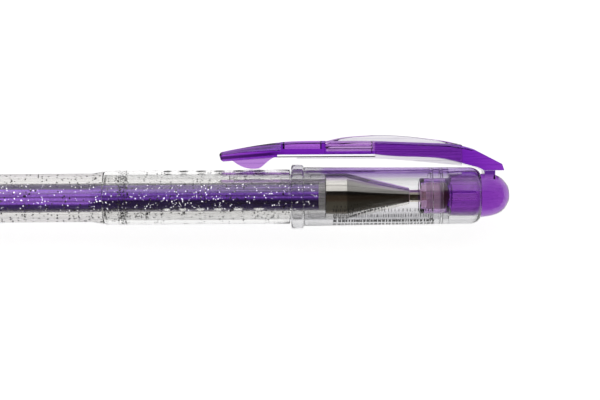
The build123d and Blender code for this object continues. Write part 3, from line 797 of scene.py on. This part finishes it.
# ------------------------------------------------------------------ refill
TUBE_BORE_R = 2.03
INK_R = 2.06
INK_INLET_R = 1.28
INK_SLICES = 40  # slices of the ink column's long stretch, so that it shortens evenly
LONG_STRETCH = 20  # a stretch longer than this is cut into slices
INK_AROUND = 96
GLITTER_SEED = 7
GLITTER_R = (2.09, 2.35)  # just outside the ink, in the tube's wall
GLITTER_TILT = 20
GLITTER_COUNT = 900
GLITTER_SIZE = (0.05, 0.13)
GLITTER_REAR_GAP = 0.3
GLITTER_FRONT_GAP = 0.2
GRIP_GLITTER_X = 66  # forward of this there is finer glitter as well
GRIP_GLITTER_COUNT = 400
GRIP_GLITTER_SIZE = (0.04, 0.1)
TIP_REAR_R = 1.05
TIP_BORE_R = 0.62
TIP_FLANGE_X0 = 123.8
TIP_FLANGE_X1 = 124.6
TIP_FLANGE_R = 1.45
TIP_SHANK_R = 1.22
TIP_TAPER_X = 129.4
TIP_BORE_X = 129.2
# The lip crimped round the ball: how far behind the tip's end, and radius.
TIP_LIP = ((0.25, 0.64), (0.22, 0.6), (0, 0.56), (0, 0.5), (0.4, 0.42))


def make_tube():
    """Clear tube of the refill, open at both ends."""
    x0, x1 = ends("refill_tube")
    outer = widest("refill_tube")
    profile = [(x0, TUBE_BORE_R), (x0, outer), (x1, outer), (x1, TUBE_BORE_R)]
    points, faces = turned(soften(profile, radius=0.1))
    piece(
        "refill_tube_clear", points, faces, clear_tube, "refill", ["refill_tube"]
    )


def ink_outline(x0, holder_x, x1):
    """Outline of the ink column and its inlet as (x, radius), with the long stretch in slices."""
    profile = [(x0, 0), (x0, INK_R), (holder_x, INK_R), (holder_x, INK_INLET_R)]
    profile += [(x1, INK_INLET_R), (x1, 0)]
    stations = []
    for start, end in zip(profile, profile[1:]):
        stations.append(start)
        length = end[0] - start[0]
        if length > LONG_STRETCH:
            for part in range(1, INK_SLICES):
                stations.append((start[0] + length * part / INK_SLICES, start[1]))
    stations.append(profile[-1])
    return stations


def glitter_flakes(x0, x1):
    """Points and faces of the ink's glitter: coarse all along and finer under the grip."""
    rng = random.Random(GLITTER_SEED)
    coarse = flakes(rng, GLITTER_COUNT, (x0, x1), GLITTER_R, GLITTER_SIZE, GLITTER_TILT)
    fine_x = (GRIP_GLITTER_X, x1)
    fine = flakes(rng, GRIP_GLITTER_COUNT, fine_x, GLITTER_R, GRIP_GLITTER_SIZE, GLITTER_TILT)
    return joined(coarse, fine)


def make_ink():
    """Ink column that touches the tube, and the glitter in its skin."""
    x0, x1 = ends("gel_ink")
    holder_x = ends("tip_holder")[0]
    points, faces = turned(ink_outline(x0, holder_x, x1), INK_AROUND)
    column = piece("ink_column", points, faces, ink_violet, "refill", ["gel_ink"])
    points, faces = glitter_flakes(x0 + GLITTER_REAR_GAP, holder_x - GLITTER_FRONT_GAP)
    glitter = piece("ink_glitter", points, faces, silver_flake, "refill")
    for thing in (column, glitter):
        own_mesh(thing)


def make_tip():
    """Turned writing tip: rear shank, flange, front shank and a crimped taper round the ball."""
    x0, x1 = ends("writing_tip")
    profile = [
        (x0, TIP_BORE_R),
        (x0, TIP_REAR_R),
        (TIP_FLANGE_X0, TIP_REAR_R),
        (TIP_FLANGE_X0, TIP_FLANGE_R),
        (TIP_FLANGE_X1, TIP_FLANGE_R),
        (TIP_FLANGE_X1, TIP_SHANK_R),
        (TIP_TAPER_X, TIP_SHANK_R),
    ]
    profile += [(x1 - behind, r) for behind, r in TIP_LIP]
    profile.append((TIP_BORE_X, TIP_BORE_R))
    points, faces = turned(soften(profile, radius=0.05))
    piece("tip_turned", points, faces, nickel, "refill", ["writing_tip"])


# ------------------------------------------------------------------ nose cone
CONE_THREAD_R = SPIGOT_R + 0.04
CONE_BEVEL = 0.12
CONE_TAPER_X = 115.1
CONE_FRONT_R = 1.67
CONE_FRONT_BEVEL_X = 0.08
CONE_FRONT_BEVEL_R = 0.09
CONE_HOLE_R = 1.26
CONE_HOLE_X = 124.95  # rear end of the hole that the tip comes through
CONE_FUNNEL_R = 1.5  # of the step behind that hole
CONE_ROOM_R = 2.95
CONE_ROOM_X0 = 115.0
CONE_ROOM_X1 = 119.0
CONE_SHARP = 9  # degrees, so that the corner between cylinder and taper stays crisp


def make_cone():
    """Chromed cone: cylinder, straight taper with a crisp corner, and a hollow inside."""
    x0, x1 = ends("nose_cone")
    radius = widest("nose_cone")
    profile = [
        (x0, CONE_THREAD_R),
        (x0, radius - CONE_BEVEL),
        (x0 + CONE_BEVEL, radius),
        (CONE_TAPER_X, radius),
        (x1 - CONE_FRONT_BEVEL_X, CONE_FRONT_R),
        (x1, CONE_FRONT_R - CONE_FRONT_BEVEL_R),
        (x1, CONE_HOLE_R),
        (CONE_HOLE_X, CONE_HOLE_R),
        (CONE_HOLE_X, CONE_FUNNEL_R),
        (CONE_ROOM_X1, CONE_ROOM_R),
        (CONE_ROOM_X0, CONE_ROOM_R),
        (CONE_ROOM_X0, CONE_THREAD_R),
    ]
    points, faces = turned(soften(profile, radius=0.03))
    piece(
        "cone_chrome", points, faces, chrome, "nose_cone", ["nose_cone"], CONE_SHARP
    )


# ------------------------------------------------------------------ cap
CAP_BORE_R = 4.62
CAP_MOUTH_BORE_R = 4.72
CROWN_BORE_R = 3.9
CROWN_SEAT_X = 134.6
CAP_MOUTH_R = 5.7
CAP_END_R = 5.45
COLLAR_ROUNDING = 0.4
COLLAR_FLAT_END = 2.0  # from the mouth to where the collar's front rounding starts
COLLAR_STEPS = 8
SHELL_TAPER_X = 138.5
END_REACH = 2.3  # how far the far end's rounding goes along the pen
END_DROP = 1.25  # and in from the wall
END_SWEEP = math.radians(80)
END_STEPS = 10
RIB_XS = (132.9, 131.0)  # rear edges of the two ribs inside the shell
RIB_WIDTH = 0.5
RIB_DRAFT = 0.05
RIB_R = 4.3
BEAD_X = 106.2  # bead that snaps over the barrel's ridge
BEAD_HALF_LENGTH = 0.5
BEAD_R = 4.57
CAP_SHARP = 30
# Rows of dashes: angle round the pen, height, mean length and mean gap.
PRINT_ROWS = (
    (-74, 1.3, 0.42, 0.24),
    (-57, 1.0, 0.14, 0.24),
    (-42, 0.8, 0.12, 0.3),
    (-29, 0.6, 0.12, 0.6),
)
PRINT_SEED = 23
PRINT_X0 = 112.5
PRINT_X1 = 131.5
PRINT_LEVELS = (-0.02, 0.008)  # of a dash's inner and outer face, from the cap's surface
PRINT_SCATTER = (0.6, 1.4)  # least and most of the mean that a dash or gap has


def cap_radius(x):
    """Outer radius of the cap's shell at x."""
    mouth_x = ends("cap_shell")[0]
    share = (x - mouth_x) / (SHELL_TAPER_X - mouth_x)
    return CAP_MOUTH_R + (CAP_END_R - CAP_MOUTH_R) * share


def cap_outside(x0, collar):
    """Outside of the shell from its mouth to its far end: collar, taper and rounded end."""
    flat = collar - COLLAR_ROUNDING
    outline = [(x0, flat)]
    for step in range(1, COLLAR_STEPS + 1):
        angle = math.pi / 2 * step / COLLAR_STEPS
        outline.append(
            (x0 + COLLAR_ROUNDING * (1 - math.cos(angle)), flat + COLLAR_ROUNDING * math.sin(angle))
        )
    front = x0 + COLLAR_FLAT_END
    for step in range(COLLAR_STEPS + 1):
        angle = math.pi / 2 * step / COLLAR_STEPS
        outline.append(
            (front + COLLAR_ROUNDING * math.sin(angle), flat + COLLAR_ROUNDING * math.cos(angle))
        )
    wall_x = front + COLLAR_ROUNDING
    outline += [(wall_x, cap_radius(wall_x)), (SHELL_TAPER_X, CAP_END_R)]
    for step in range(1, END_STEPS + 1):
        angle = END_SWEEP * step / END_STEPS
        reach = END_REACH * math.sin(angle) / math.sin(END_SWEEP)
        drop = END_DROP * (1 - math.cos(angle)) / (1 - math.cos(END_SWEEP))
        outline.append((SHELL_TAPER_X + reach, CAP_END_R - drop))
    return outline


def make_cap():
    """Clear shell: rounded collar, tapered wall, rounded end, snap bead and two inner ribs."""
    x0, x1 = ends("cap_shell")
    profile = [(x0, CAP_MOUTH_BORE_R)]
    profile += cap_outside(x0, widest("cap_shell"))
    profile += [(x1, CROWN_BORE_R), (CROWN_SEAT_X, CROWN_BORE_R), (CROWN_SEAT_X, CAP_BORE_R)]
    for rib in RIB_XS:
        profile += [
            (rib + RIB_WIDTH, CAP_BORE_R),
            (rib + RIB_WIDTH - RIB_DRAFT, RIB_R),
            (rib + RIB_DRAFT, RIB_R),
            (rib, CAP_BORE_R),
        ]
    profile += [
        (BEAD_X + BEAD_HALF_LENGTH, CAP_BORE_R),
        (BEAD_X, BEAD_R),
        (BEAD_X - BEAD_HALF_LENGTH, CAP_BORE_R),
    ]
    points, faces = turned(soften(profile, radius=0.08))
    piece(
        "cap_shell_clear", points, faces, clear_cap, "cap", ["cap_shell"], CAP_SHARP
    )


def dash(x0, x1, row_angle, height):
    """Points and faces of one thin printed dash on the cap's surface."""
    half = math.degrees(height / 2 / cap_radius(x0))
    points = []
    for level in PRINT_LEVELS:
        for x, turn in ((x0, -half), (x1, -half), (x1, half), (x0, half)):
            angle = math.radians(row_angle + turn)
            r = cap_radius(x) + level
            points.append((x, r * math.sin(angle), r * math.cos(angle)))
    faces = [(3, 2, 1, 0), (4, 5, 6, 7)]
    for corner in range(4):
        after = (corner + 1) % 4
        faces.append((corner, after, 4 + after, 4 + corner))
    return points, faces


def make_print():
    """Rows of plain dashes on the cap's lower side, in place of its printed lines."""
    rng = random.Random(PRINT_SEED)
    dashes = []
    for row_angle, height, stroke, gap in PRINT_ROWS:
        x = PRINT_X0
        while x < PRINT_X1:
            long = rng.uniform(*PRINT_SCATTER) * stroke
            dashes.append(dash(x, x + long, row_angle, height))
            x += long + rng.uniform(*PRINT_SCATTER) * gap
    points, faces = joined(*dashes)
    piece("cap_print_dashes", points, faces, print_grey, "cap")


# ------------------------------------------------------------------ everything
PLAIN_NODES = (
    ("ink_follower", grease),
    ("tip_holder", holder_white),
    ("valve_ball", steel),
    ("writing_ball", steel),
    ("tip_spring", steel),
    ("tip_seal", seal_pink),
    ("crown_plug", violet_crown),
    ("clip_bar", violet_clip),
    ("clip_lens", clear_lens),
)

make_barrel()
make_grip()
make_tail_plug()
make_barrel_specks()
make_tube()
make_ink()
make_tip()
make_cone()
make_cap()
make_print()

for node, material in PLAIN_NODES:
    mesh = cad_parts[node].data
    mesh.materials.clear()
    mesh.materials.append(material)


# ------------------------------------------------------------------ studio
# The camera's view: straight down, a little over 115 mm wide, with a slight roll.
VIEW_X = 106.2
VIEW_Y = -0.67
VIEW_HEIGHT = 325
VIEW_WIDTH = 115.4
VIEW_ROLL = -0.0060
SENSOR_WIDTH = 36
CAMERA_NEAR = 0.01
CAMERA_FAR = 20

FLOOR_HALF_SIZE = 6.0
FLOOR_GLOW = 1.15

SOFTBOX_DISTANCE = 0.45
HIGH_LAMP_COLOUR = (1.0, 0.985, 0.96)
LOW_LAMP_COLOUR = (1.0, 0.98, 0.95)
# Lamp panels: name, two angles from overhead, two places along the pen, radiance and colour.
SOFTBOXES = (
    ("softbox_high", 25, 52, -0.5, 0.07, 0.5, HIGH_LAMP_COLOUR),
    ("softbox_low", 55, 88, -0.5, 0.07, 0.8, LOW_LAMP_COLOUR),
    ("softbox_high_front", 25, 52, 0.07, 0.5, 0.18, HIGH_LAMP_COLOUR),
    ("softbox_low_front", 55, 88, 0.07, 0.5, 0.3, LOW_LAMP_COLOUR),
)

# The room's light round the pen's axis: degrees from overhead towards the clip, and colour.
ROOM_BANDS = (
    (-95, (0.5, 0.49, 0.46)),
    (-78, (0.14, 0.12, 0.095)),
    (-68, (0.08, 0.073, 0.058)),
    (-30, (0.07, 0.064, 0.05)),
    (-18, (0.05, 0.035, 0.025)),
    (3, (0.04, 0.03, 0.02)),
    (8, (0.015, 0.013, 0.012)),
    (22, (0.015, 0.013, 0.012)),
    (26, (0.35, 0.34, 0.32)),
    (95, (0.5, 0.49, 0.48)),
)
ROOM_AHEAD = (0.42, 0.42, 0.42)  # share of the room's light that is left ahead of the pen
ROOM_AHEAD_START = 0.12  # how far a direction points forward where the room starts to dim
ROOM_AHEAD_FULL = 0.26  # and where it is dimmest
BACKDROP = (0.92, 0.92, 0.93)


def make_floor():
    """Pale floor that glows softly, as on a light table."""
    material, tree, shader, where = material_base("floor_pale")
    cloud = noise(tree, where, scale=3)
    shade = ramp(tree, cloud, [(0.3, (0.8, 0.8, 0.805)), (0.7, (0.82, 0.82, 0.82))])
    tree.links.new(shade, shader.inputs["Base Color"])
    tree.links.new(shade, shader.inputs["Emission Color"])
    shader.inputs["Roughness"].default_value = 0.9
    shader.inputs["Emission Strength"].default_value = FLOOR_GLOW
    half = FLOOR_HALF_SIZE
    level = cad_box[0].z
    mesh = bpy.data.meshes.new("floor")
    corners = [(-half, -half, level), (half, -half, level), (half, half, level), (-half, half, level)]
    mesh.from_pydata(corners, [], [(0, 1, 2, 3)])
    mesh.materials.append(material)
    floor = bpy.data.objects.new("floor", mesh)
    bpy.context.scene.collection.objects.link(floor)


def softbox(name, low, high, start, end, radiance, colour):
    """Lamp panel on the clip side, between two angles down from overhead and two x offsets."""
    middle = math.radians((low + high) / 2)
    half = math.radians((high - low) / 2)
    lamp = bpy.data.lights.new(name, "AREA")
    lamp.shape = "RECTANGLE"
    lamp.size = end - start
    lamp.size_y = 2 * SOFTBOX_DISTANCE * math.tan(half)
    lamp.energy = radiance * math.pi * lamp.size * lamp.size_y
    lamp.color = colour
    thing = bpy.data.objects.new(name, lamp)
    aim = Vector((VIEW_X * MM, 0, 0))
    away = Vector((0, math.sin(middle), math.cos(middle)))
    along_pen = Vector(((start + end) / 2, 0, 0))
    thing.location = aim + along_pen + away * SOFTBOX_DISTANCE
    thing.rotation_mode = "QUATERNION"
    thing.rotation_quaternion = away.to_track_quat("Z", "Y")
    thing.visible_camera = False
    bpy.context.scene.collection.objects.link(thing)


def make_world():
    """Grey room, darker overhead, and a pale backdrop straight behind the object."""
    world = bpy.data.worlds.new("room")
    bpy.context.scene.world = world
    world.use_nodes = True
    tree = world.node_tree
    nodes = tree.nodes
    direction = nodes.new("ShaderNodeTexCoord").outputs["Generated"]
    parts = nodes.new("ShaderNodeSeparateXYZ")
    tree.links.new(direction, parts.inputs["Vector"])
    turn = nodes.new("ShaderNodeMath")
    turn.operation = "ARCTAN2"
    tree.links.new(parts.outputs["Y"], turn.inputs[0])
    tree.links.new(parts.outputs["Z"], turn.inputs[1])
    share = nodes.new("ShaderNodeMapRange")
    share.inputs["From Min"].default_value = -math.pi
    share.inputs["From Max"].default_value = math.pi
    tree.links.new(turn.outputs["Value"], share.inputs["Value"])
    stops = [(0.5 + degrees / 360, colour) for degrees, colour in ROOM_BANDS]
    room = ramp(tree, share.outputs["Result"], stops)
    fall_stops = [(ROOM_AHEAD_START, WHITE), (ROOM_AHEAD_FULL, ROOM_AHEAD)]
    fall = ramp(tree, parts.outputs["X"], fall_stops)
    lit = nodes["Background"]
    tree.links.new(multiplied(tree, room, fall), lit.inputs["Color"])
    seen = nodes.new("ShaderNodeBackground")
    seen.inputs["Color"].default_value = (*BACKDROP, 1)
    path = nodes.new("ShaderNodeLightPath")
    mix = nodes.new("ShaderNodeMixShader")
    tree.links.new(path.outputs["Is Camera Ray"], mix.inputs["Fac"])
    tree.links.new(lit.outputs["Background"], mix.inputs[1])
    tree.links.new(seen.outputs["Background"], mix.inputs[2])
    tree.links.new(mix.outputs["Shader"], nodes["World Output"].inputs["Surface"])


def make_camera():
    """Camera above the pen, looking straight down."""
    camera_data = bpy.data.cameras.new("camera")
    camera_data.sensor_width = SENSOR_WIDTH
    camera_data.lens = SENSOR_WIDTH * VIEW_HEIGHT / VIEW_WIDTH
    camera_data.clip_start = CAMERA_NEAR
    camera_data.clip_end = CAMERA_FAR
    camera = bpy.data.objects.new("camera", camera_data)
    camera.location = (VIEW_X * MM, VIEW_Y * MM, VIEW_HEIGHT * MM)
    camera.rotation_euler = (0, 0, VIEW_ROLL)
    bpy.context.scene.collection.objects.link(camera)
    bpy.context.scene.camera = camera


make_floor()
for panel in SOFTBOXES:
    softbox(*panel)
make_world()
make_camera()
bpy.context.scene.view_settings.view_transform = "Standard"
